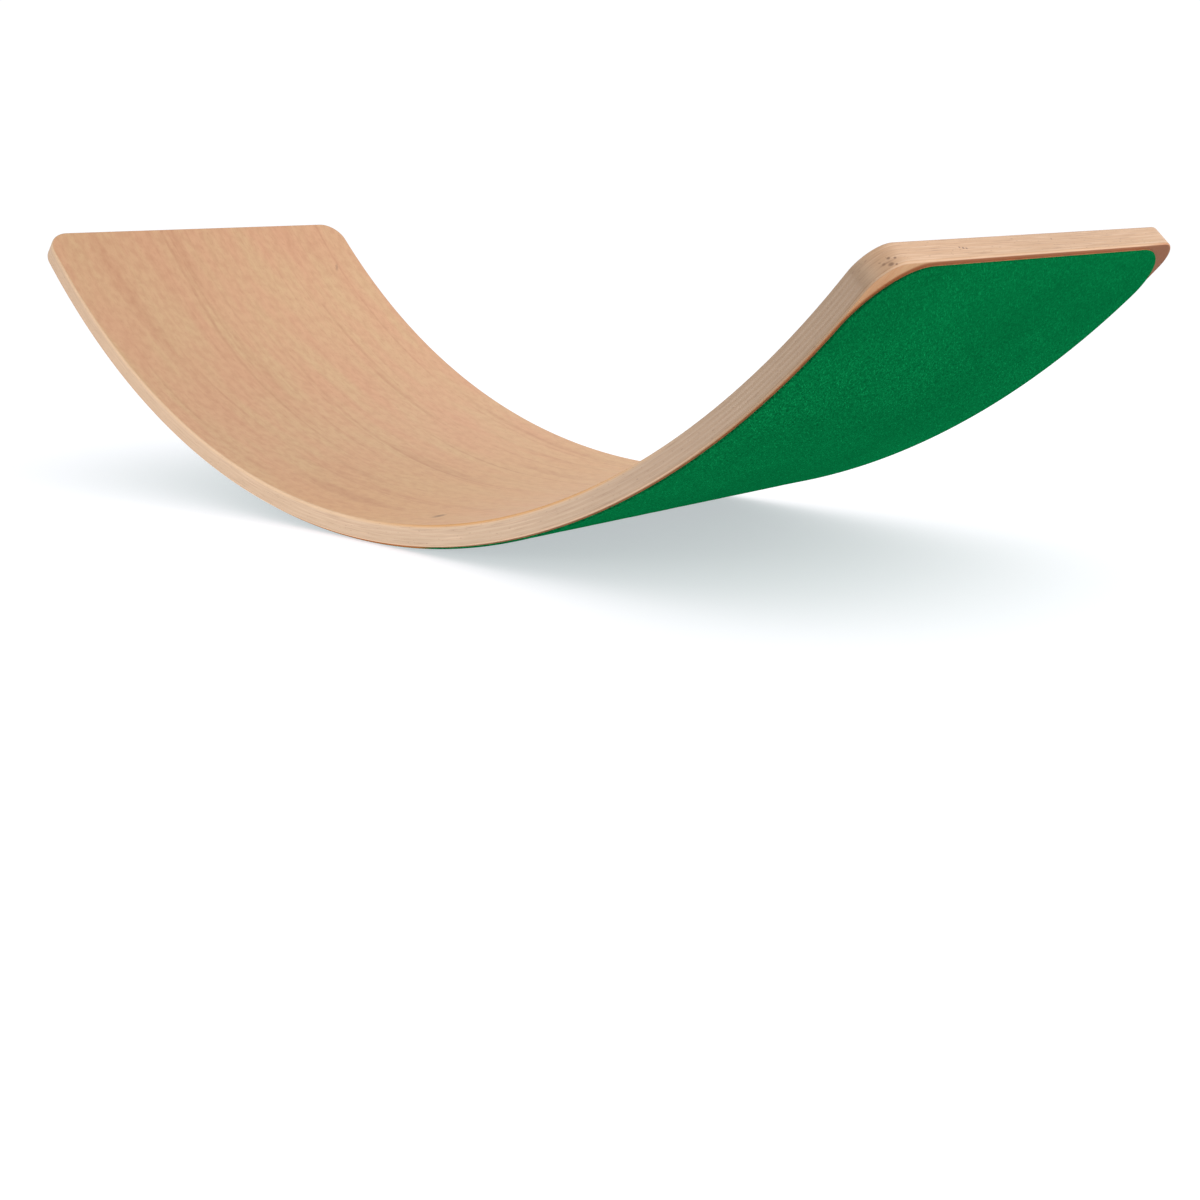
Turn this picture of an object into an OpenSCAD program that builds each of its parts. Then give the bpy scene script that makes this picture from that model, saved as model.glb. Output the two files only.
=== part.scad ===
// Curvy balance board: a sheet of plywood moulded to one arc, with felt on its outer face.
// It lies as a cradle, hollow side up. X runs along the board, Y across it and Z up, and the
// origin is the middle of the line where the felt meets the floor.

/* [Board] */
// Width of the board across its two straight sides
board_w = 300; // [200:1:450]
// Radius of the hollow inner face
inner_r = 575; // [350:1:900]
// Angle that the board bends through from end to end, in degrees at mid thickness
sweep = 96; // [60:0.5:140]
// Radius of the four rounded corners
corner_r = 20; // [5:1:80]

/* [Veneers] */
// Number of veneers pressed and glued into the sheet
ply_count = 11; // [5:2:15]
// Thickness of one veneer
ply_t = 1.35; // [0.8:0.05:2.5]

/* [Felt] */
// Thickness of the felt on the outer face
felt_t = 1.3; // [0.8:0.1:5]
// Thickness of the dark adhesive film under the felt
film_t = 0.4; // [0.2:0.1:1.5]
// Thickness of the glue line between the film and the wood, which is left open
glue_t = 0.2; // [0:0.05:0.5]
// Bare wood between the felt and each straight side
felt_side_gap = 3; // [0.5:0.5:15]
// Bare wood between the felt and each end
felt_end_gap = 3; // [0.5:0.5:20]
// How much larger the radius of the felt's corners is than that of the board's
felt_corner_extra = 20; // [0:1:40]

/* [Hidden] */
$fn = 180;

// The faces of the layers are cylinders about one axis, which lies across the board
wood_t = ply_count * ply_t;
mid_r = inner_r + wood_t / 2;
outer_r = inner_r + wood_t;
film_r = outer_r + glue_t;
felt_in_r = film_r + film_t;
felt_r = felt_in_r + felt_t;

// Both ends are cut with a tool that stands square to the board where its corner arcs begin
trim_deg = sweep / 2 - asin(corner_r / mid_r);
// The corner arcs meet the sides and the ends at this small angle
arc_meet_deg = 3;

// The bent sheets are this much longer than the finished layers, and the tool this much larger
blank_over_deg = 3;
tool_over = 20;

felt_w = board_w - 2 * felt_side_gap;
felt_reach = corner_r - felt_end_gap;
felt_corner_r = corner_r + felt_corner_extra;

core_count = ply_count - 2;
core_names = [for (i = [1:core_count]) str("core_veneer_", i)];

face_colour = [0.83, 0.67, 0.53];
long_colour = [0.86, 0.74, 0.63];
cross_colour = [0.74, 0.59, 0.46];
film_colour = [0.20, 0.13, 0.10];
felt_colour = [0.01, 0.43, 0.23];

// Radius of the inner face of a veneer, counted from 0 at the hollow face
function ply_r(index) = inner_r + index * ply_t;

// Sheet bent about the Y axis between two radii, with its middle straight below the axis
module bent_sheet(r_in, r_out, w, half_deg) {
    rotate([90, 0, 0])
        rotate([0, 0, -90 - half_deg])
            rotate_extrude(angle = 2 * half_deg)
                translate([r_in, -w / 2])
                    square([r_out - r_in, w]);
}

// What is cut off one end of a layer. X runs along the board from the trimming angle, the end
// is cut at x = reach, and the tool cuts along the radius.
module end_offcut(r_in, r_out, w, reach, corner) {
    depth = r_out - r_in + 2 * tool_over;
    arc_in = corner * cos(arc_meet_deg);
    translate([0, 0, -r_out - tool_over]) {
        translate([reach, -w / 2 - tool_over, 0])
            cube([tool_over + mid_r * tan(blank_over_deg), w + 2 * tool_over, depth]);
        for (side = [0, 1])
            mirror([0, side, 0])
                translate([reach - arc_in, w / 2 - arc_in, 0])
                    difference() {
                        cube([corner + tool_over, corner + tool_over, depth]);
                        translate([0, 0, -tool_over])
                            cylinder(r = corner, h = depth + 2 * tool_over);
                    }
    }
}

// One finished layer of the board between two radii, with its ends cut and its corners rounded
module layer(r_in, r_out, w, reach, corner) {
    translate([0, 0, felt_r])
        difference() {
            bent_sheet(r_in, r_out, w, sweep / 2 + blank_over_deg);
            for (turn = [0, 180])
                rotate([0, 0, turn])
                    rotate([0, -trim_deg, 0])
                        end_offcut(r_in, r_out, w, reach, corner);
        }
}

module veneer(index) {
    layer(ply_r(index), ply_r(index + 1), board_w, corner_r, corner_r);
}

// Smooth veneer of the hollow face, with its grain along the board
module inner_face_veneer() {
    color(face_colour)
        veneer(0);
}

// Veneers between the faces: the odd ones have their grain across the board, the even ones along it
module core_veneer(number) {
    color(number % 2 == 1 ? cross_colour : long_colour)
        veneer(number);
}

// Veneer of the outer face, with its grain along the board
module outer_face_veneer() {
    color(face_colour)
        veneer(ply_count - 1);
}

// Adhesive film between the outer veneer and the felt
module felt_film() {
    color(film_colour)
        layer(film_r, felt_in_r, felt_w, felt_reach, felt_corner_r);
}

// Felt that grips the floor and keeps the wood off it
module felt_cover() {
    color(felt_colour)
        layer(felt_in_r, felt_r, felt_w, felt_reach, felt_corner_r);
}

inner_face_veneer();
for (i = [1:core_count]) core_veneer(i);
outer_face_veneer();
felt_film();
felt_cover();
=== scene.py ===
import math
from functools import cached_property, reduce

import bpy
import numpy as np
from bpy.props import FloatProperty, FloatVectorProperty, IntProperty, PointerProperty
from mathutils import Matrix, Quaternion, Vector, noise


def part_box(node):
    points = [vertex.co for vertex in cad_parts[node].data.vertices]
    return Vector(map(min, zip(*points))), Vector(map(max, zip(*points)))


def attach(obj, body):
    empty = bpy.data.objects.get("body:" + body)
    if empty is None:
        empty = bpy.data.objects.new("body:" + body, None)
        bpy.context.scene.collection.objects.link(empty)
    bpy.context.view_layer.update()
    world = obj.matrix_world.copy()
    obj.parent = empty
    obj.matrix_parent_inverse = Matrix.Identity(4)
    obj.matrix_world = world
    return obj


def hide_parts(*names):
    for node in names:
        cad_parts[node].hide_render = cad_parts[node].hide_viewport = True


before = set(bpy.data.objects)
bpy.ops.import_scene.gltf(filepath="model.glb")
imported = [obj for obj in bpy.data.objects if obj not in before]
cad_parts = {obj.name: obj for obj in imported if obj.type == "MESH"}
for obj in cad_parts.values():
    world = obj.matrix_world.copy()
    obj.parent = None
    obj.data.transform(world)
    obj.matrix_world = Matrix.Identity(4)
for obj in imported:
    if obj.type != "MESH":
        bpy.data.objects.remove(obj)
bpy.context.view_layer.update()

bl_info = {
    "name": "Curvy balance board",
    "version": (1, 0, 0),
    "blender": (4, 5, 0),
    "location": "3D View > Sidebar > Balance Board",
    "description": "Dresses a balance board of moulded beech plywood with felt under it",
    "category": "Object",
}

# Sizes measured on the frame, in metres. The board is bent about one axis, which runs across it.


def node_points(node):
    """Every point of a CAD node, one row each."""
    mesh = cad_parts[node].data
    points = np.empty(len(mesh.vertices) * 3, np.float32)
    mesh.vertices.foreach_get("co", points)
    return points.reshape(-1, 3).astype(float)


def bend_axis_height():
    """Height of the bend axis: the radius of the circle that touches the floor at the origin."""
    x, _, z = node_points("felt_cover").T
    high = z > z.max() / 2
    return float(((x[high] ** 2 + z[high] ** 2) / (2 * z[high])).max())


AXIS_Z = bend_axis_height()


def from_axis(points):
    """Distance of each point from the bend axis."""
    return np.hypot(points[:, 0], AXIS_Z - points[:, 2])


INNER_R = float(from_axis(node_points("inner_face_veneer")).min())
OUTER_R = float(from_axis(node_points("outer_face_veneer")).max())
MID_R = (INNER_R + OUTER_R) / 2
HALF_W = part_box("inner_face_veneer")[1].y
CORES = sorted(
    (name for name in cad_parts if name.startswith("core_veneer_")),
    key=lambda name: int(name.split("_")[-1]),
)
PLY_T = (OUTER_R - INNER_R) / (len(CORES) + 2)


def trim_angle():
    """Angle from the middle of the board at which the tool that cut both ends stood."""
    inner_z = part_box("inner_face_veneer")[1].z
    outer_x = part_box("outer_face_veneer")[1].x
    inner_x = math.sqrt(INNER_R**2 - (AXIS_Z - inner_z) ** 2)
    outer_z = AXIS_Z - math.sqrt(OUTER_R**2 - outer_x**2)
    return math.atan2(outer_x - inner_x, inner_z - outer_z)


TRIM = trim_angle()

# Settings that a user would change


def srgb(red, green, blue):
    """A colour as a picture shows it, from 0 to 255, in the linear values that shaders take."""
    shares = [value / 255 for value in (red, green, blue)]
    return tuple(s / 12.92 if s <= 0.04045 else ((s + 0.055) / 1.055) ** 2.4 for s in shares)


def length(name, description, default):
    return FloatProperty(
        name=name, description=description, default=default, min=0, unit="LENGTH", precision=5)


def colour(name, description, default):
    return FloatVectorProperty(
        name=name, description=description, default=default, subtype="COLOR", min=0, max=1)


def place(name, description, default, subtype="XYZ"):
    return FloatVectorProperty(name=name, description=description, default=default, subtype=subtype)


def turn(name, description, degrees):
    return FloatProperty(
        name=name, description=description, default=math.radians(degrees), unit="ROTATION")


def measure(name, description, default, unit="NONE"):
    return FloatProperty(name=name, description=description, default=default, min=0, unit=unit)


class BoardSizes(bpy.types.PropertyGroup):
    """Sizes of the shapes that the frame's solids leave plain"""

    corner: length("Board corner", "Radius of the board's rounded corners", 0.020)
    felt_corner: length("Felt corner", "Radius of the felt's rounded corners", 0.040)
    wood_ease: length("Wood edge", "Radius of the sanded edges of both wooden faces", 0.0012)
    felt_ease: length("Felt edge", "Radius of the soft outer edge of the felt", 0.0012)
    felt_wave: length("Felt unevenness", "How far the felt wanders from a true cylinder", 0.00012)
    columns: IntProperty(
        name="Columns", description="Quads along a face between its corners", default=120, min=8)
    rows: IntProperty(name="Rows", description="Quads across a face", default=40, min=2)


class BoardColours(bpy.types.PropertyGroup):
    """Colours of the finishes"""

    face_pale: colour("Face, pale", "Yellower clouds of the beech face", srgb(196, 163, 122))
    face_pink: colour("Face, pink", "Pinker clouds of the beech face", srgb(198, 151, 117))
    face_gold: colour("Face, warm", "Warmer stretch at the bottom of the hollow", srgb(196, 154, 106))
    face_line: colour("Face, lines", "Growth lines and flecks of the beech face", srgb(166, 113, 80))
    # Painted highlights: a pale and a golden line along the rounded edge of the hollow face, and on the
    # veneer edges just below it
    rim_highlight_gold: colour("Rim, golden", "Golden stretch of the hollow face's edge", srgb(173, 124, 66))
    rim_highlight_pale: colour("Rim, pale", "Veneer edges next to the hollow face", srgb(181, 151, 120))
    side_grain: colour("Edge, side grain", "Veneer edges along the grain", srgb(173, 147, 121))
    end_grain: colour("Edge, end grain", "Veneer edges cut across the grain", srgb(164, 136, 110))
    edge_warm: colour("Edge, warm", "Pinker veneer edges at both ends", srgb(187, 147, 112))
    # Pale streaks of the veneer edges, and also painted light on the rounded edge of the outer face
    edge_pale_and_painted_light: colour("Edge, pale", "Pale streaks in the veneer edges", srgb(203, 170, 143))
    # Painted shade: greyer stretch of the veneer edges up the right of the near side and on the far part
    # of the right end
    edge_painted_shade: colour("Edge, grey", "Greyer stretch of the veneer edges", srgb(127, 101, 75))
    pores: colour("Edge, pores", "Pores, pits and glue lines in the veneer edges", srgb(104, 73, 50))
    outer_face: colour("Outer face", "Bare margin of the outer face", srgb(172, 134, 98))
    # Painted shade beside the felt: a brown band, deeper at both ends and darkest on the far side. The
    # first brown also tints the mottles of the bare margin
    mottle_and_shade_brown: colour("Stain", "Wood that the glue has browned beside the felt", srgb(154, 97, 58))
    painted_shade_deep: colour("Stain, deep", "Browner stain beside the felt at both ends", srgb(124, 70, 36))
    painted_shade_dark: colour("Stain, dark", "Darkest stain beside the felt", srgb(104, 57, 22))
    film: colour("Film", "Adhesive film under the felt", srgb(156, 94, 52))
    felt: colour("Felt", "Green of the felt", srgb(2, 87, 45))
    felt_dark: colour("Felt, deep", "Green between the fibres of the felt", srgb(1, 53, 26))
    felt_light: colour("Felt, light", "Green of the fibres that stand up", srgb(19, 136, 78))
    felt_sheen: colour("Felt, sheen", "Green of the nap at a low angle", (0.001, 0.18, 0.053))


class StageSetup(bpy.types.PropertyGroup):
    """Camera and studio light"""

    camera_place: place("Camera", "Where the camera stands", (0.92619, -0.82100, 0.23490))
    camera_heading: turn("Heading", "Turn of the camera from the Y axis", 45.807)
    camera_dip: turn("Dip", "How far the camera looks down", 13.877)
    camera_roll: turn("Roll", "Turn of the camera about its line of sight", -1.081)
    camera_lens: measure("Lens", "Focal length of the camera in millimetres", 49.91, "CAMERA")
    sky: measure("Sky", "Strength of the bright side of the surroundings", 1.05)
    sky_dim: measure("Dim sky", "Strength of their dim side", 0.6)
    sky_side: place("Bright side", "Where they are bright", (-0.5, 0.5, 0.7), "DIRECTION")
    key: measure("Key light", "Power of the light above", 6.5, "POWER")
    key_place: place("Key place", "Where the light above hangs", (0.9, 0.9, 1.2))
    fill: measure("Fill light", "Power of the low light in front", 3.3, "POWER")
    fill_place: place("Fill place", "Where the low light in front stands", (-0.17, -0.75, 0.12))
    side: measure("Side light", "Power of the low light behind", 10, "POWER")
    side_place: place("Side place", "Where the low light behind stands", (1.4, 0.55, 0.15))
    floor: colour("Floor", "Pale floor", (0.55, 0.55, 0.55))
    floor_glow: colour("Floor glow", "Light that the lit floor gives by itself", (0.468, 0.478, 0.51))


# Meshes of the bent layers

# Quads round a corner of the board, and round a sanded edge
CORNER_STEPS = 16
EASE_STEPS = 5
# Narrow strip beside a sanded edge, which keeps the edge's shading off the face
FACE_BORDER = 0.0004
# Edges that turn more than this stay sharp in the shading
SHARP_TURN = math.radians(50)
# Quads along the felt between its corners, quads across it, and lumps for each metre of it
FELT_COLUMNS = 360
FELT_ROWS = 120
FELT_LUMPS = 90


class Layer:
    """Sizes of one bent sheet, measured on its CAD node."""

    def __init__(self, node, corner):
        points = node_points(node)
        radii = from_axis(points)
        ahead = points[:, 0] * math.cos(TRIM) - (AXIS_Z - points[:, 2]) * math.sin(TRIM)
        self.node = node
        self.inner_r = float(radii.min())
        self.outer_r = float(radii.max())
        self.half_w = float(points[:, 1].max())
        self.reach = float(ahead.max())
        self.corner = corner

    def half_sweep(self):
        """Angle from the middle of the inner face to its end."""
        return TRIM + math.asin(self.reach / self.inner_r)

    def face(self, inset, radius, columns, rows):
        """Grid of points on a face, inset from the outline: one row for each station along the board."""
        corner = self.corner - inset
        turns = np.linspace(0, math.pi / 2, CORNER_STEPS + 1)
        ahead = self.reach - self.corner + corner * np.sin(turns)
        end_angle = TRIM + np.arcsin(ahead / radius)
        end_half = self.half_w - self.corner + corner * np.cos(turns)
        run = np.linspace(-1, 1, columns + 1)[1:-1] * end_angle[0]
        run_half = np.full(len(run), self.half_w - inset)
        angle = np.concatenate([-end_angle[::-1], run, end_angle])[:, None]
        half = np.concatenate([end_half[::-1], run_half, end_half])[:, None]
        across = half * np.linspace(-1, 1, rows + 1)
        x = radius * np.sin(angle) + 0 * across
        z = AXIS_Z - radius * np.cos(angle) + 0 * across
        return np.stack([x, across, z], -1)


def eased(radius, inward, ease):
    """Profile of a rounded edge, from the face to the rim, as insets and radii."""
    if ease == 0:
        return [(0.0, radius)]
    turns = np.linspace(0, math.pi / 2, EASE_STEPS + 1)
    rounded = [(ease * (1 - math.sin(a)), radius + inward * ease * (1 - math.cos(a))) for a in turns]
    return [(ease + FACE_BORDER, radius)] + rounded


def uneven(grid, height):
    """Moves the points of a face inwards by uneven amounts, apart from those on its border."""
    out = (grid - np.array([0, 0, AXIS_Z])) * (1, 0, 1)
    out /= np.linalg.norm(out, axis=-1, keepdims=True)
    wave = [[noise.noise(Vector(point) * FELT_LUMPS) for point in row] for row in grid]
    shift = (np.array(wave) - 1) * height
    shift[[0, -1], :] = 0
    shift[:, [0, -1]] = 0
    return grid + out * shift[..., None]


def rim_loop(stations, rows):
    """Grid indices round the border of a face, against the clock as seen from the bend axis."""
    width = rows + 1
    near = [i * width for i in range(stations)]
    right = [(stations - 1) * width + j for j in range(1, width)]
    far = [i * width + rows for i in range(stations - 2, -1, -1)]
    left = list(range(rows - 1, 0, -1))
    return np.array(near + right + far + left)


def layer_faces(stations, rows, bands):
    """Quads of a layer whose points are its inner face, its outer face and the bands of its rim."""
    grid = np.arange(stations * (rows + 1)).reshape(stations, rows + 1)
    quads = np.stack([grid[:-1, :-1], grid[1:, :-1], grid[1:, 1:], grid[:-1, 1:]], -1).reshape(-1, 4)
    faces = [quads, quads[:, ::-1] + grid.size]
    loop = rim_loop(stations, rows)
    between = [2 * grid.size + band * len(loop) + np.arange(len(loop)) for band in range(bands)]
    rings = [loop, *between, loop + grid.size]
    for ring, after in zip(rings, rings[1:]):
        faces.append(np.stack([ring, after, np.roll(after, -1), np.roll(ring, -1)], -1))
    return np.concatenate(faces)


def bent_layer(name, layer, columns, rows, inner_ease=0.0, outer_ease=0.0, unevenness=0.0):
    """Piece that takes the place of a layer's node: two faces of quads, and the rim between them."""
    profile = eased(layer.inner_r, 1, inner_ease) + eased(layer.outer_r, -1, outer_ease)[::-1]
    inner, *between, outer = [layer.face(*step, columns, rows) for step in profile]
    if unevenness:
        outer = uneven(outer, unevenness)
    loop = rim_loop(len(inner), rows)
    bands = [grid.reshape(-1, 3)[loop] for grid in between]
    points = np.concatenate([inner.reshape(-1, 3), outer.reshape(-1, 3), *bands])
    mesh = bpy.data.meshes.new(name)
    mesh.from_pydata(points.tolist(), [], layer_faces(len(inner), rows, len(bands)).tolist())
    mesh.polygons.foreach_set("use_smooth", np.ones(len(mesh.polygons), bool))
    mesh.set_sharp_from_angle(angle=SHARP_TURN)
    mesh.validate()
    piece = bpy.data.objects.new(name, mesh)
    bpy.context.scene.collection.objects.link(piece)
    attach(piece, "root")
    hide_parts(layer.node)
    return piece


# Shader nodes


class Wire:
    """One output of a shader node. Arithmetic on it adds Math nodes."""

    def __init__(self, nodes, socket):
        self.nodes = nodes
        self.socket = socket

    def __add__(self, other):
        return self.nodes.math("ADD", self, other)

    def __sub__(self, other):
        return self.nodes.math("SUBTRACT", self, other)

    def __rsub__(self, other):
        return self.nodes.math("SUBTRACT", other, self)

    def __mul__(self, other):
        return self.nodes.math("MULTIPLY", self, other)

    def __truediv__(self, other):
        return self.nodes.math("DIVIDE", self, other)

    def __pow__(self, other):
        return self.nodes.math("POWER", self, other)

    def __abs__(self):
        return self.nodes.math("ABSOLUTE", self)

    def __mod__(self, other):
        return self.nodes.math("FLOORED_MODULO", self, other)

    def __gt__(self, other):
        return self.nodes.math("GREATER_THAN", self, other)

    __radd__ = __add__
    __rmul__ = __mul__

    def top(self, other):
        return self.nodes.math("MAXIMUM", self, other)

    def rise(self, low, high):
        """0 below low, 1 above high, and smooth between them."""
        sockets = {"Value": self, "From Min": low, "From Max": high}
        return self.nodes.node("ShaderNodeMapRange", {"interpolation_type": "SMOOTHSTEP"}, sockets)

    def fall(self, low, high):
        """1 below low, 0 above high, and smooth between them."""
        return 1 - self.rise(low, high)

    def from_whole(self):
        """Distance from the nearest whole number."""
        return abs((self + 0.5) % 1.0 - 0.5)


class Nodes:
    """A node tree under construction."""

    def __init__(self, tree):
        self.tree = tree
        self.tree.nodes.clear()

    def fill(self, socket, value):
        """Links a wire to a socket, or sets the socket to a plain value."""
        if isinstance(value, Wire):
            self.tree.links.new(value.socket, socket)
        elif socket.type == "RGBA":
            socket.default_value = (*value, 1)
        else:
            socket.default_value = value

    def node(self, kind, settings=(), sockets=(), out=0):
        """Adds a node, sets it up, fills its sockets with values or wires, and returns one output."""
        made = self.tree.nodes.new(kind)
        for name, value in dict(settings).items():
            setattr(made, name, value)
        for key, value in dict(sockets).items():
            self.fill(made.inputs[key], value)
        return None if out is None else Wire(self, made.outputs[out])

    def math(self, operation, *values):
        return self.node("ShaderNodeMath", {"operation": operation}, dict(enumerate(values)))

    def split(self, vector):
        """The three wires of a vector."""
        separate = self.node("ShaderNodeSeparateXYZ", (), {0: vector})
        return [Wire(self, output) for output in separate.socket.node.outputs]

    def noise(self, x, y, z=0.0, detail=2.0):
        """Soft noise from 0 to 1 with one lump for each unit of x, y and z."""
        spot = self.node("ShaderNodeCombineXYZ", (), {"X": x, "Y": y, "Z": z})
        return self.node("ShaderNodeTexNoise", (), {"Vector": spot, "Scale": 1.0, "Detail": detail})

    def mix(self, amount, first, second):
        """Colour that goes from the first to the second as amount goes from 0 to 1."""
        return self.node("ShaderNodeMix", {"data_type": "RGBA"}, {0: amount, 6: first, 7: second}, out=2)


class Finish(Nodes):
    """A material under construction: its nodes, and the shader that they feed."""

    def __init__(self, name, **constants):
        self.material = bpy.data.materials.new(name)
        self.material.use_nodes = True
        super().__init__(self.material.node_tree)
        shader = self.node("ShaderNodeBsdfPrincipled")
        self.shader = shader.socket.node
        self.node("ShaderNodeOutputMaterial", (), {"Surface": shader}, out=None)
        self.feed(**constants)

    def feed(self, **sockets):
        """Fills sockets of the shader, whose names are written with _ for spaces."""
        for name, value in sockets.items():
            self.fill(self.shader.inputs[name.replace("_", " ")], value)

    def bump(self, height, relief, strength):
        """Shades the surface as if height stood up by relief, in metres."""
        sockets = {"Height": height, "Distance": relief, "Strength": strength}
        self.feed(Normal=self.node("ShaderNodeBump", (), sockets))


class BoardFinish(Finish):
    """A finish on the flattened board, in metres along it, across it and below the hollow face."""

    def __init__(self, name, **constants):
        super().__init__(name, **constants)
        x, self.across, z = self.split(self.node("ShaderNodeTexCoord", out="Object"))
        up = AXIS_Z - z
        radius = (x * x + up * up) ** 0.5
        self.sine = x / radius
        self.cosine = up / radius
        self.along = self.math("ARCTAN2", x, up) * MID_R
        self.depth = radius - INNER_R

    @cached_property
    def facing(self):
        """How far the surface faces along the board, across it and along the radius, from 0 to 1."""
        x, y, z = self.split(self.node("ShaderNodeNewGeometry", out="Normal"))
        along = abs(x * self.cosine + z * self.sine)
        radial = abs(x * self.sine - z * self.cosine)
        return along, abs(y), radial

    def lumps(self, along, across, seed=0, detail=2):
        """Noise with so many lumps for each metre along and across the board."""
        return self.noise(self.along * along, self.across * across, seed, detail)

    def specks(self, count):
        """Noise with so many lumps for each metre in every direction."""
        return self.noise(self.along * count, self.across * count, self.depth * count)


def turned(ahead, aside, degrees):
    """The two wires of a place on the flattened board, measured along and across a slanted line."""
    cosine = math.cos(math.radians(degrees))
    sine = math.sin(math.radians(degrees))
    return ahead * cosine + aside * sine, aside * cosine - ahead * sine


# Finishes of the wood

# Noises of the wooden faces: lumps for each metre along and across the board, seed and detail
CLOUDS = (9, 42, 0, 6)
BANDS = (3, 60, 3, 3)
SMEARS = (3, 44, 9, 3)
WANDERING = (1.3, 4, 4)
BROAD_BREAKS = (3, 12, 8)
NARROW_BREAKS = (3, 12, 15)
MOTTLES = (100, 190, 5, 5)
FACE_FIBRES = (70, 1300, 2, 3)
FLECKS = (240, 1700, 6, 0)
KNOT_EDGES = (400, 400, 7)
MARGIN_FIBRES = (60, 1200, 2, 3)
MARGIN_TONES = (30, 60, 7, 3)
# Noises of the veneer edges: lumps for each metre along the edge and down through it, shift from
# veneer to veneer, seed and detail
EDGE_STREAKS = (45, 1500, 7.3, 0, 3)
EDGE_GLEAMS = (30, 900, 2.3, 9, 2)
EDGE_PITS = (300, 1100, 0, 5, 0)
# Those that change only from veneer to veneer: lumps for each metre along the edge, shift and seed
VENEER_TONES = (6, 5.7, 1)
GLUE_BREAKS = (14, 3.1, 2)
# Speckles for each metre of end grain
SPECKLES = 1900
# Growth lines of the hollow face: lines for each metre across it, how far they wander, and width
BROAD_LINES = (24, 2.2, 0.05)
NARROW_LINES = (62, 5.0, 0.07)
# Relief of the veneer edges and of the wooden faces
EDGE_RELIEF = 0.00012
FACE_RELIEF = 0.00008
# Pits in the right end: place across the board, depth below the hollow face, and radius
END_PITS = (
    (-0.0790, 0.0068, 0.0011),
    (-0.0762, 0.0074, 0.0014),
    (-0.0735, 0.0078, 0.0012),
    (0.0120, 0.0050, 0.0010),
    (-0.1395, 0.0086, 0.0013),
    (-0.1428, 0.0104, 0.0013),
    (-0.1365, 0.0098, 0.0012),
    (-0.1402, 0.0122, 0.0019),
    (-0.1380, 0.0134, 0.0010),
)
# Pin knots in the hollow face: place along and across, half length, half width, turn and darkness
PIN_KNOTS = (
    (0.042, -0.114, 0.0145, 0.0060, 110, 0.72),
    (-0.432, 0.1195, 0.0100, 0.0026, -29, 0.38),
)
# Soft streaks in the hollow face: place along and across, half length, half width and darkness
STREAKS = (
    (-0.325, 0.074, 0.090, 0.0024, 0.26),
    (-0.235, 0.067, 0.080, 0.0028, 0.26),
    (-0.150, 0.127, 0.110, 0.0045, 0.22),
    (-0.060, 0.098, 0.060, 0.0040, 0.20),
    (-0.030, 0.060, 0.060, 0.0070, 0.24),
    (-0.095, -0.003, 0.080, 0.0080, 0.24),
    (-0.110, -0.068, 0.050, 0.0060, 0.20),
    (-0.065, -0.112, 0.080, 0.0090, 0.28),
)


def painted_highlight_reach(finish):
    """1 where a painted highlight, pale or golden, runs along the edge of the hollow face: everywhere but
    up the right side.
    """
    return finish.along.fall(0.2, 0.34)


def golden_highlight_reach(finish):
    """1 where the painted highlight along the edge of the hollow face is golden: low on the near side."""
    near = finish.across.fall(-0.1, 0.0)
    return finish.along.rise(-0.04, 0.11) * finish.along.fall(0.22, 0.32) * near


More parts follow.
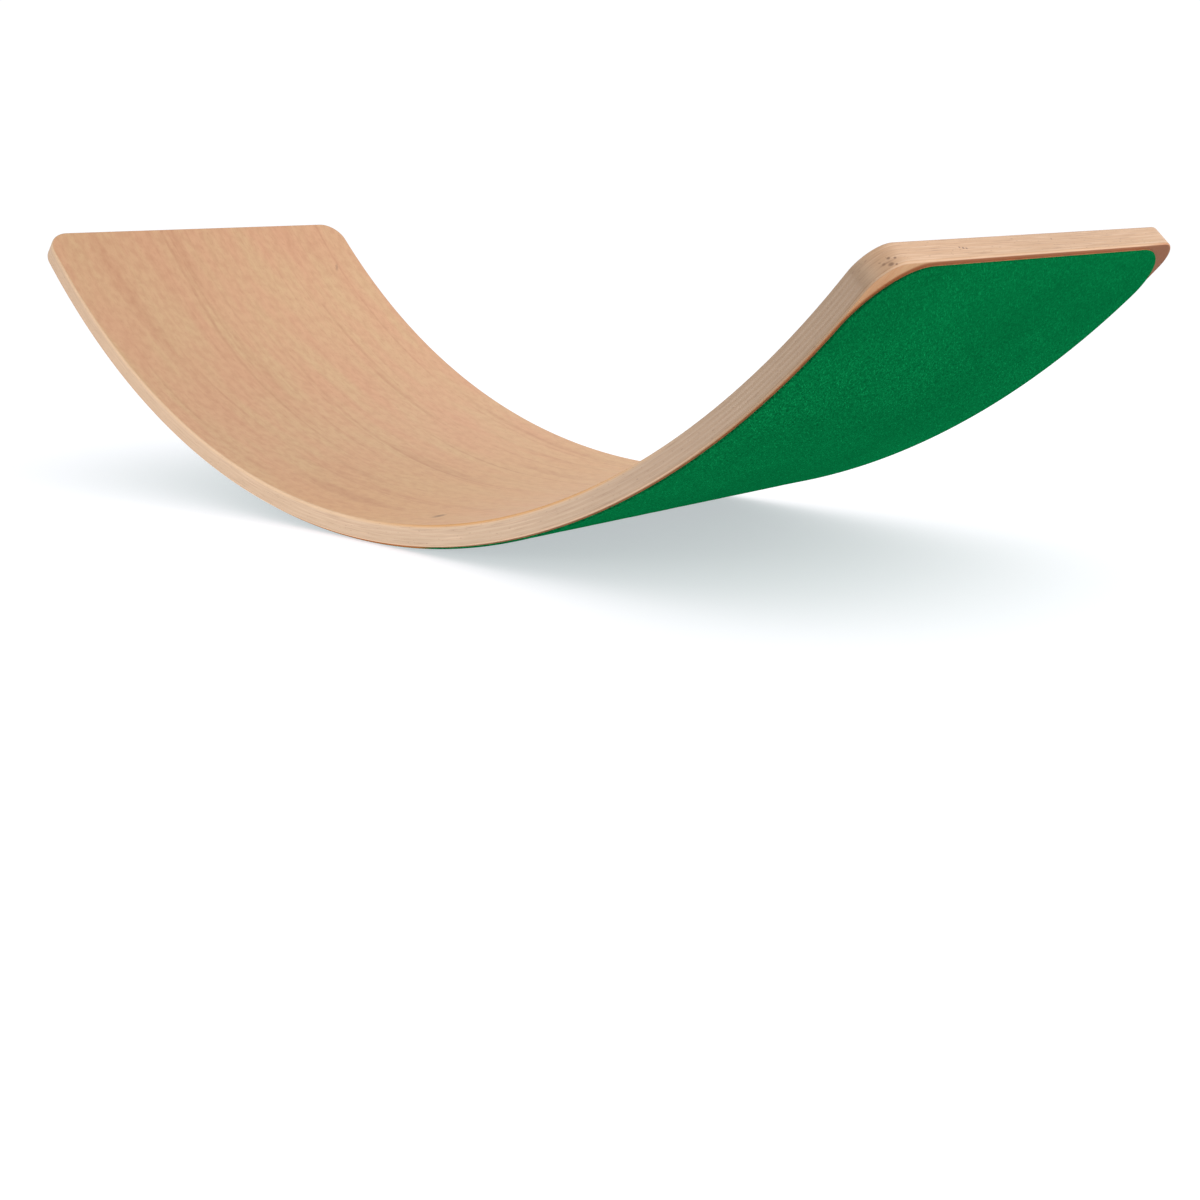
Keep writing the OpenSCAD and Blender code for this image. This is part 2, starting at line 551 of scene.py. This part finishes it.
class VeneerEdge:
    """Cut edge of a veneer, which shows on the sides and ends of the board."""

    def __init__(self, finish, grain_along):
        self.finish = finish
        self.colours = bpy.context.scene.board_colours
        self.end_on, side_on, _ = finish.facing
        self.cut = (self.end_on if grain_along else side_on).rise(0.35, 0.9)
        self.right = finish.along > 0
        self.run = finish.along + finish.across
        self.plies = finish.depth / PLY_T
        self.ply = finish.math("FLOOR", self.plies)
        self.streak = self.lumps(*EDGE_STREAKS)
        self.speckle = finish.specks(SPECKLES)
        self.sunk = self.speckle * self.cut + self.streak * 0.3

    def lumps(self, along, deep, shift, seed, detail):
        """Noise with so many lumps for each metre along the edge and down through it."""
        layer = self.ply * shift + seed
        return self.finish.noise(self.run * along, self.finish.depth * deep, layer, detail)

    def patches(self, along, shift, seed):
        """Noise that stays the same down through each veneer."""
        return self.finish.noise(self.run * along, self.ply * shift, seed)

    def grain(self):
        """Streaks where the grain runs along the edge, and speckles where it is cut across."""
        mix = self.finish.mix
        colours = self.colours
        side_grain = mix(self.streak.rise(0.4, 0.75), colours.side_grain, colours.end_grain)
        end_grain = mix(self.speckle.rise(0.5, 0.75) * 0.22, colours.end_grain, colours.pores)
        return mix(self.cut * 0.5, side_grain, end_grain)

    def toned(self, wood):
        """Wood with the tones and pale streaks of single veneers, painted shade on the left, and warmer
        at the ends.
        """
        finish = self.finish
        tone = self.patches(*VENEER_TONES).rise(0.3, 0.75)
        # Painted shade: the veneer edges are darker on the left
        left = finish.along.fall(-0.16, -0.03)
        darker = finish.mix((tone * 0.35).top(left * 0.6), wood, self.colours.end_grain)
        warm = finish.mix(self.end_on.rise(0.3, 0.9) * 0.75, darker, self.colours.edge_warm)
        bright = self.lumps(*EDGE_GLEAMS).rise(0.5, 0.7)
        return finish.mix(bright * (0.2 + 0.3 * self.end_on), warm, self.colours.edge_pale_and_painted_light)

    def with_painted_shade(self, wood):
        """Wood with painted shade: greyer up the right of the near side, and on the far part of the right
        end.
        """
        finish = self.finish
        near_side = (finish.across + HALF_W).fall(0.004, 0.016) * self.end_on.fall(0.1, 0.6)
        far_end = self.end_on * finish.across.rise(-0.13, 0.03) * self.right
        grey = near_side * finish.along.rise(0.10, 0.46) * 0.75 + far_end * 0.22
        return finish.mix(grey, wood, self.colours.edge_painted_shade)

    def with_painted_highlight(self, wood):
        """Wood with a painted highlight beside the hollow face: a pale and golden line."""
        finish = self.finish
        beside = finish.depth.fall(0.0012, 0.0034) * painted_highlight_reach(finish)
        pale = finish.mix(beside, wood, self.colours.rim_highlight_pale)
        golden = golden_highlight_reach(finish) * finish.depth.fall(0.0012, 0.0020)
        return finish.mix(golden * 0.8, pale, self.colours.rim_highlight_gold)

    def marks(self):
        """How dark the glue lines, pits and pores are."""
        finish = self.finish
        broken = self.patches(*GLUE_BREAKS).rise(0.4, 0.65)
        glue = (self.plies.from_whole() * PLY_T).fall(0.00003, 0.00013) * broken
        pits = self.lumps(*EDGE_PITS).rise(0.72, 0.82)
        pores = self.streak.rise(0.54, 0.8) * (0.38 + 0.24 * self.end_on)
        dark = (glue * (0.16 + 0.14 * self.end_on)).top(pits * 0.4).top(pores)
        for place_across, place_depth, size in END_PITS:
            aside = finish.across - place_across
            below = finish.depth - place_depth
            pit = (aside * aside + below * below * 2).fall(0.0, size * size)
            dark = dark.top(pit * self.end_on * self.right * 0.85)
        return dark

    def colour(self):
        wood = self.with_painted_highlight(self.with_painted_shade(self.toned(self.grain())))
        return self.finish.mix(self.marks(), wood, self.colours.pores)


def core_finish(grain_along):
    """Beech veneer inside the plywood, which shows only at its edges."""
    finish = BoardFinish("core_veneer_along" if grain_along else "core_veneer_across")
    edge = VeneerEdge(finish, grain_along)
    finish.feed(Base_Color=edge.colour(), Roughness=0.5 + 0.15 * edge.sunk)
    finish.bump(edge.sunk, EDGE_RELIEF, 0.5)
    return finish.material


def hollow_ground(finish, cloud):
    """Ground of the hollow face: pale and pink clouds, pink bands, and a warmer middle."""
    colours = bpy.context.scene.board_colours
    pinker = cloud.rise(0.3, 0.7) * 0.8 + finish.across.rise(-0.1, 0.14) * 0.25
    clouded = finish.mix(pinker, colours.face_pale, colours.face_pink)
    banded = finish.mix(finish.lumps(*BANDS).rise(0.48, 0.72) * 0.5, clouded, colours.face_pink)
    return finish.mix(abs(finish.along).fall(0.0, 0.2) * 0.6, banded, colours.face_gold)


def growth_lines(finish, wander, lines, breaks):
    """Thin lines along the board, which wander across it, and come and go."""
    per_metre, bend, width = lines
    count = finish.across * per_metre + wander * bend
    return count.from_whole().fall(0.0, width) * finish.lumps(*breaks).rise(0.42, 0.62)


def hollow_lines(finish):
    """How dark the hollow face is: growth lines, streaks, painted shade on the near side, and a darker
    left end.
    """
    along = finish.along
    across = finish.across
    wander = finish.lumps(*WANDERING)
    broad = growth_lines(finish, wander, BROAD_LINES, BROAD_BREAKS)
    narrow = growth_lines(finish, wander, NARROW_LINES, NARROW_BREAKS)
    smear = finish.lumps(*SMEARS).rise(0.54, 0.74)
    # Painted shade: darker towards the near side
    near = across.fall(-0.16, 0.12)
    left_end = along.fall(-0.49, -0.38)
    dark = broad * 0.3 + narrow * 0.14 + smear * 0.28 + near * 0.2 + left_end * 0.12
    for place_along, place_across, long, wide, darkness in STREAKS:
        run = (along - place_along) / long
        off = (across - place_across) / wide + (wander - 0.5) * 4
        dark = dark + (run * run + off * off).fall(0.0, 1.0) * darkness
    return dark


def with_pin_knots(finish, wood):
    """Wood with the pin knots of the hollow face."""
    for place_along, place_across, long, wide, degrees, darkness in PIN_KNOTS:
        ahead, aside = turned(finish.along - place_along, finish.across - place_across, degrees)
        run = ahead / long
        off = aside / wide
        reach = (run * run + off * off) ** 0.5 + 0.6 * finish.lumps(*KNOT_EDGES)
        wood = finish.mix(reach.fall(0.4, 1.1) * darkness, wood, bpy.context.scene.board_colours.pores)
    return wood


def hollow_face_finish():
    """Sanded and oiled beech of the hollow face, with its grain along the board."""
    colours = bpy.context.scene.board_colours
    finish = BoardFinish("beech_hollow_face")
    cloud = finish.lumps(*CLOUDS)
    fibre = finish.lumps(*FACE_FIBRES)
    mottle = finish.lumps(*MOTTLES)
    fleck = finish.lumps(*FLECKS).rise(0.66, 0.8)
    dark = hollow_lines(finish) + fibre.rise(0.45, 0.8) * 0.16 + mottle.rise(0.35, 0.7) * 0.24
    lined = finish.mix(dark, hollow_ground(finish, cloud), colours.face_line)
    flecked = finish.mix(fleck * 0.4, lined, colours.face_line)
    edge = VeneerEdge(finish, True)
    _, _, radial = finish.facing
    # Painted highlight, pale and golden, on the rounded edge of the hollow face
    rim = finish.mix(golden_highlight_reach(finish), colours.rim_highlight_pale, colours.rim_highlight_gold)
    rounded = finish.mix(radial.rise(0.3, 0.6) * painted_highlight_reach(finish), edge.colour(), rim)
    flat = radial.rise(0.93, 0.998)
    finish.feed(Base_Color=finish.mix(flat, rounded, with_pin_knots(finish, flecked)))
    finish.feed(Roughness=0.46 + 0.10 * fibre + 0.05 * cloud)
    finish.bump(fibre * 0.4 - fleck * 0.5 + edge.sunk * (1 - flat) * 0.4, FACE_RELIEF, 0.4)
    return finish.material


def from_felt(finish):
    """Distance outside the felt's outline, on the outer face."""
    felt = Layer("felt_cover", bpy.context.scene.board_sizes.felt_corner)
    ahead = (abs(finish.along) - felt.half_sweep() * MID_R + felt.corner).top(0.0)
    aside = (abs(finish.across) - felt.half_w + felt.corner).top(0.0)
    return (ahead * ahead + aside * aside) ** 0.5 - felt.corner


def outer_margin(finish, fibre):
    """Bare margin round the felt, with a band of painted shade in brown next to it."""
    colours = bpy.context.scene.board_colours
    along = abs(finish.along)
    across = finish.across
    tone = finish.lumps(*MARGIN_TONES)
    mottled = fibre.rise(0.4, 0.7) * 0.3 + tone.rise(0.4, 0.7) * 0.3
    bare = finish.mix(mottled, colours.outer_face, colours.mottle_and_shade_brown)
    # Painted shade beside the felt: deeper at both ends, darkest and broadest on the far side, and a
    # little broader towards both ends
    brown = finish.mix(along.rise(0.45, 0.485) * 0.9, colours.mottle_and_shade_brown, colours.painted_shade_deep)
    browner = finish.mix(across.rise(0.08, 0.135), brown, colours.painted_shade_dark)
    spread = 0.0022 + 0.0017 * along.rise(0.3, 0.47) + 0.015 * across.rise(-0.12, 0.12)
    shaded_beside_felt = ((from_felt(finish) + 0.001 * tone) / spread).fall(0.5, 1.0)
    return finish.mix(shaded_beside_felt, bare, browner)


def outer_face_finish():
    """Browner beech of the outer face, which shows at its edge and round the felt, with painted light on
    its rounded edge and painted shade at the far corner of the right end.
    """
    colours = bpy.context.scene.board_colours
    finish = BoardFinish("beech_outer_face", Specular_IOR_Level=0.2)
    fibre = finish.lumps(*MARGIN_FIBRES)
    edge = VeneerEdge(finish, True)
    _, _, radial = finish.facing
    rounding = radial.rise(0.05, 0.5)
    # Painted light: the rounded edge is paler, less so towards the right end
    lit = rounding * (0.8 - 0.5 * finish.along.rise(0.28, 0.38))
    pale = finish.mix(lit, edge.colour(), colours.edge_pale_and_painted_light)
    # Painted shade on the rounded edge at the far corner of the right end
    far_corner = rounding * finish.across.rise(0.1, 0.14) * finish.along.rise(0.43, 0.47)
    rounded = finish.mix(far_corner * 0.8, pale, colours.mottle_and_shade_brown)
    flat = radial.rise(0.8, 0.99)
    finish.feed(Base_Color=finish.mix(flat, rounded, outer_margin(finish, fibre)))
    finish.feed(Roughness=0.52 + 0.15 * fibre)
    finish.bump(fibre * 0.4 + edge.sunk * (1 - flat) * 0.4, FACE_RELIEF, 0.4)
    return finish.material


# Finishes of the film and the felt

# Noises of the film and of the felt, given in the same way as those of the wooden faces
FILM_PATCHES = (120, 120)
FELT_MOTTLES = (11, 11, 3, 3)
# Directions in degrees and lengths of the felt's fibres
FIBRES = ((8, 0.002), (67, 0.002), (128, 0.004))
# Fibres side by side in a metre of felt, layers of them in a metre of depth, shift of the noise
# from direction to direction, and tufts of nap in a metre
FIBRES_ACROSS = 1700
FIBRE_LAYERS = 800
FIBRE_SHIFT = 5.0
NAP_TUFTS = 900
# Relief of the felt
NAP_RELIEF = 0.0004


def film_finish():
    """Brown adhesive film, seen only as a line between wood and felt."""
    colours = bpy.context.scene.board_colours
    finish = BoardFinish("adhesive_film")
    patch = finish.lumps(*FILM_PATCHES)
    finish.feed(Base_Color=finish.mix(patch.rise(0.4, 0.7) * 0.5, colours.film, colours.pores))
    finish.feed(Roughness=0.5 + 0.2 * patch)
    return finish.material


def felt_fibres(finish):
    """Height of the felt's fibres, which lie over each other in a few directions."""
    strands = []
    for number, (degrees, fibre) in enumerate(FIBRES):
        run, side = turned(finish.along, finish.across, degrees)
        layer = number * FIBRE_SHIFT + finish.depth * FIBRE_LAYERS
        strands.append(finish.noise(run / fibre, side * FIBRES_ACROSS, layer, 1))
    return reduce(Wire.top, strands)


def glued_rim(finish):
    """1 where glue has browned the rim of the felt's near side: from the left to past the middle."""
    _, _, radial = finish.facing
    near_rim = radial.fall(0.6, 0.95) * finish.across.fall(-0.14, -0.13)
    return near_rim * finish.along.fall(0.055, 0.075) * finish.along.rise(-0.46, -0.42)


def felt_finish():
    """Pressed wool felt: short fibres in all directions over a mottled ground."""
    colours = bpy.context.scene.board_colours
    finish = BoardFinish("green_felt", Roughness=0.95, Specular_IOR_Level=0.0)
    finish.feed(Sheen_Weight=0.5, Sheen_Roughness=0.5, Sheen_Tint=colours.felt_sheen)
    strands = felt_fibres(finish)
    nap = finish.specks(NAP_TUFTS)
    mottle = finish.lumps(*FELT_MOTTLES).rise(0.35, 0.7)
    # Darker ground and fewer raised fibres towards the right end of the felt
    toward_right_end = finish.along.rise(0.36, 0.46)
    ground = finish.mix(strands.rise(0.46, 0.62).top(toward_right_end * 0.5), colours.felt_dark, colours.felt)
    raised = (strands.rise(0.62, 0.76) * 0.8 + nap.rise(0.58, 0.7) * 0.4) * (1 - 0.5 * toward_right_end)
    fibres = finish.mix(raised, ground, colours.felt_light)
    # Painted shade: the felt is darker towards the far side of its right part
    painted_shade_far_right = finish.across.rise(-0.1, 0.15) * finish.along.rise(0.1, 0.42) * 0.24
    shaded = finish.mix(mottle * 0.22 + painted_shade_far_right, fibres, colours.felt_dark)
    finish.feed(Base_Color=finish.mix(glued_rim(finish), shaded, colours.film))
    finish.bump(strands + 0.8 * nap, NAP_RELIEF, 0.6)
    return finish.material


# Operators, one for each piece or group of like pieces, and one for the stage


def wear(piece, material):
    """Gives a piece its material."""
    piece.data.materials.append(material)


class BOARD_OT_face_veneers(bpy.types.Operator):
    """Make the beech veneers of the hollow face and of the outer face"""

    bl_idname = "balance_board.face_veneers"
    bl_label = "Face Veneers"

    def execute(self, context):
        sizes = context.scene.board_sizes
        inner = Layer("inner_face_veneer", sizes.corner)
        outer = Layer("outer_face_veneer", sizes.corner)
        grid = sizes.columns, sizes.rows
        hollow = bent_layer("hollow_face", inner, *grid, inner_ease=sizes.wood_ease)
        wear(hollow, hollow_face_finish())
        under = bent_layer("outer_face", outer, *grid, outer_ease=sizes.wood_ease)
        wear(under, outer_face_finish())
        return {"FINISHED"}


class BOARD_OT_core_veneers(bpy.types.Operator):
    """Make the veneers between the faces, with their grain across and along the board in turn"""

    bl_idname = "balance_board.core_veneers"
    bl_label = "Core Veneers"

    def execute(self, context):
        sizes = context.scene.board_sizes
        finishes = [core_finish(False), core_finish(True)]
        for number, node in enumerate(CORES):
            piece = bent_layer(f"core_{number + 1}", Layer(node, sizes.corner), sizes.columns, sizes.rows)
            wear(piece, finishes[number % 2])
        return {"FINISHED"}


class BOARD_OT_felt_film(bpy.types.Operator):
    """Make the brown adhesive film between the outer veneer and the felt"""

    bl_idname = "balance_board.felt_film"
    bl_label = "Adhesive Film"

    def execute(self, context):
        sizes = context.scene.board_sizes
        layer = Layer("felt_film", sizes.felt_corner)
        # The film also fills the glue line, which the solids leave open
        layer.inner_r = OUTER_R
        wear(bent_layer("adhesive_film", layer, sizes.columns, sizes.rows), film_finish())
        return {"FINISHED"}


class BOARD_OT_felt_cover(bpy.types.Operator):
    """Make the green felt with its soft edge and slightly uneven surface"""

    bl_idname = "balance_board.felt_cover"
    bl_label = "Felt Cover"

    def execute(self, context):
        sizes = context.scene.board_sizes
        layer = Layer("felt_cover", sizes.felt_corner)
        form = {"outer_ease": sizes.felt_ease, "unevenness": sizes.felt_wave}
        piece = bent_layer("green_felt", layer, FELT_COLUMNS, FELT_ROWS, **form)
        wear(piece, felt_finish())
        return {"FINISHED"}


# Half the length of the floor's sides
FLOOR_REACH = 60
# Widths and heights of the three softboxes, and the point that they face
KEY_SIZE = (1.4, 1.4)
FILL_SIZE = (0.5, 0.2)
SIDE_SIZE = (1.0, 0.3)
LIT_POINT = Vector((0, 0, 0.1))
# The surroundings go from dim to bright between these cosines of the angle to their bright side
SKY_CHANGE = (-0.7, 0.3)


class BOARD_OT_stage(bpy.types.Operator):
    """Make the pale floor, the studio light and the camera"""

    bl_idname = "balance_board.stage"
    bl_label = "Stage"

    def execute(self, context):
        setup = context.scene.stage_setup
        context.scene.view_settings.view_transform = "Standard"
        self.floor(context, setup)
        self.surroundings(context, setup)
        self.softbox(context, "key", setup.key, setup.key_place, KEY_SIZE)
        self.softbox(context, "fill", setup.fill, setup.fill_place, FILL_SIZE)
        self.softbox(context, "side", setup.side, setup.side_place, SIDE_SIZE)
        self.camera(context, setup)
        return {"FINISHED"}

    def floor(self, context, setup):
        mesh = bpy.data.meshes.new("floor")
        corners = [(x * FLOOR_REACH, y * FLOOR_REACH, 0) for x, y in ((-1, -1), (1, -1), (1, 1), (-1, 1))]
        mesh.from_pydata(corners, [], [(0, 1, 2, 3)])
        floor = bpy.data.objects.new("floor", mesh)
        context.scene.collection.objects.link(floor)
        finish = Finish("pale_floor", Base_Color=setup.floor, Roughness=0.9, Specular_IOR_Level=0.0)
        finish.feed(Emission_Color=setup.floor_glow, Emission_Strength=1.0)
        mesh.materials.append(finish.material)

    def surroundings(self, context, setup):
        world = bpy.data.worlds.new("studio")
        world.use_nodes = True
        nodes = Nodes(world.node_tree)
        direction = nodes.node("ShaderNodeTexCoord", out="Generated")
        sockets = {0: direction, 1: Vector(setup.sky_side).normalized()}
        side = nodes.node("ShaderNodeVectorMath", {"operation": "DOT_PRODUCT"}, sockets, out="Value")
        brightness = setup.sky_dim + (setup.sky - setup.sky_dim) * side.rise(*SKY_CHANGE)
        sky = nodes.node("ShaderNodeBackground", (), {"Color": (1, 1, 1), "Strength": brightness})
        nodes.node("ShaderNodeOutputWorld", (), {"Surface": sky}, out=None)
        context.scene.world = world

    def softbox(self, context, name, power, spot, size):
        lamp = bpy.data.lights.new(name, "AREA")
        lamp.shape = "RECTANGLE"
        lamp.energy = power
        lamp.size, lamp.size_y = size
        softbox = bpy.data.objects.new(name, lamp)
        softbox.location = spot
        aim = LIT_POINT - softbox.location
        softbox.rotation_euler = aim.to_track_quat("-Z", "Y").to_euler()
        context.scene.collection.objects.link(softbox)

    def camera(self, context, setup):
        camera = bpy.data.objects.new("camera", bpy.data.cameras.new("camera"))
        camera.data.lens = setup.camera_lens
        level = math.cos(setup.camera_dip)
        sight = Vector((
            -math.sin(setup.camera_heading) * level,
            math.cos(setup.camera_heading) * level,
            -math.sin(setup.camera_dip),
        ))
        camera.location = setup.camera_place
        camera.rotation_mode = "QUATERNION"
        roll = Quaternion((0, 0, 1), setup.camera_roll)
        camera.rotation_quaternion = sight.to_track_quat("-Z", "Y") @ roll
        context.scene.collection.objects.link(camera)
        context.scene.camera = camera


SETTINGS = {"board_sizes": BoardSizes, "board_colours": BoardColours, "stage_setup": StageSetup}
OPERATORS = (
    BOARD_OT_face_veneers,
    BOARD_OT_core_veneers,
    BOARD_OT_felt_film,
    BOARD_OT_felt_cover,
    BOARD_OT_stage,
)


class BOARD_PT_panel(bpy.types.Panel):
    """Lists the board's pieces, sizes and colours"""

    bl_label = "Balance Board"
    bl_space_type = "VIEW_3D"
    bl_region_type = "UI"
    bl_category = "Balance Board"

    def draw(self, context):
        for operator in OPERATORS:
            self.layout.operator(operator.bl_idname)
        for group in SETTINGS:
            box = self.layout.box()
            values = getattr(context.scene, group)
            for name in values.__annotations__:
                box.prop(values, name)


CLASSES = (*SETTINGS.values(), *OPERATORS, BOARD_PT_panel)


def register():
    for made in CLASSES:
        bpy.utils.register_class(made)
    for name, group in SETTINGS.items():
        setattr(bpy.types.Scene, name, PointerProperty(type=group))


def unregister():
    for name in SETTINGS:
        delattr(bpy.types.Scene, name)
    for made in reversed(CLASSES):
        bpy.utils.unregister_class(made)


def main():
    register()
    bpy.ops.balance_board.face_veneers()
    bpy.ops.balance_board.core_veneers()
    bpy.ops.balance_board.felt_film()
    bpy.ops.balance_board.felt_cover()
    bpy.ops.balance_board.stage()


if __name__ == "__main__":
    main()
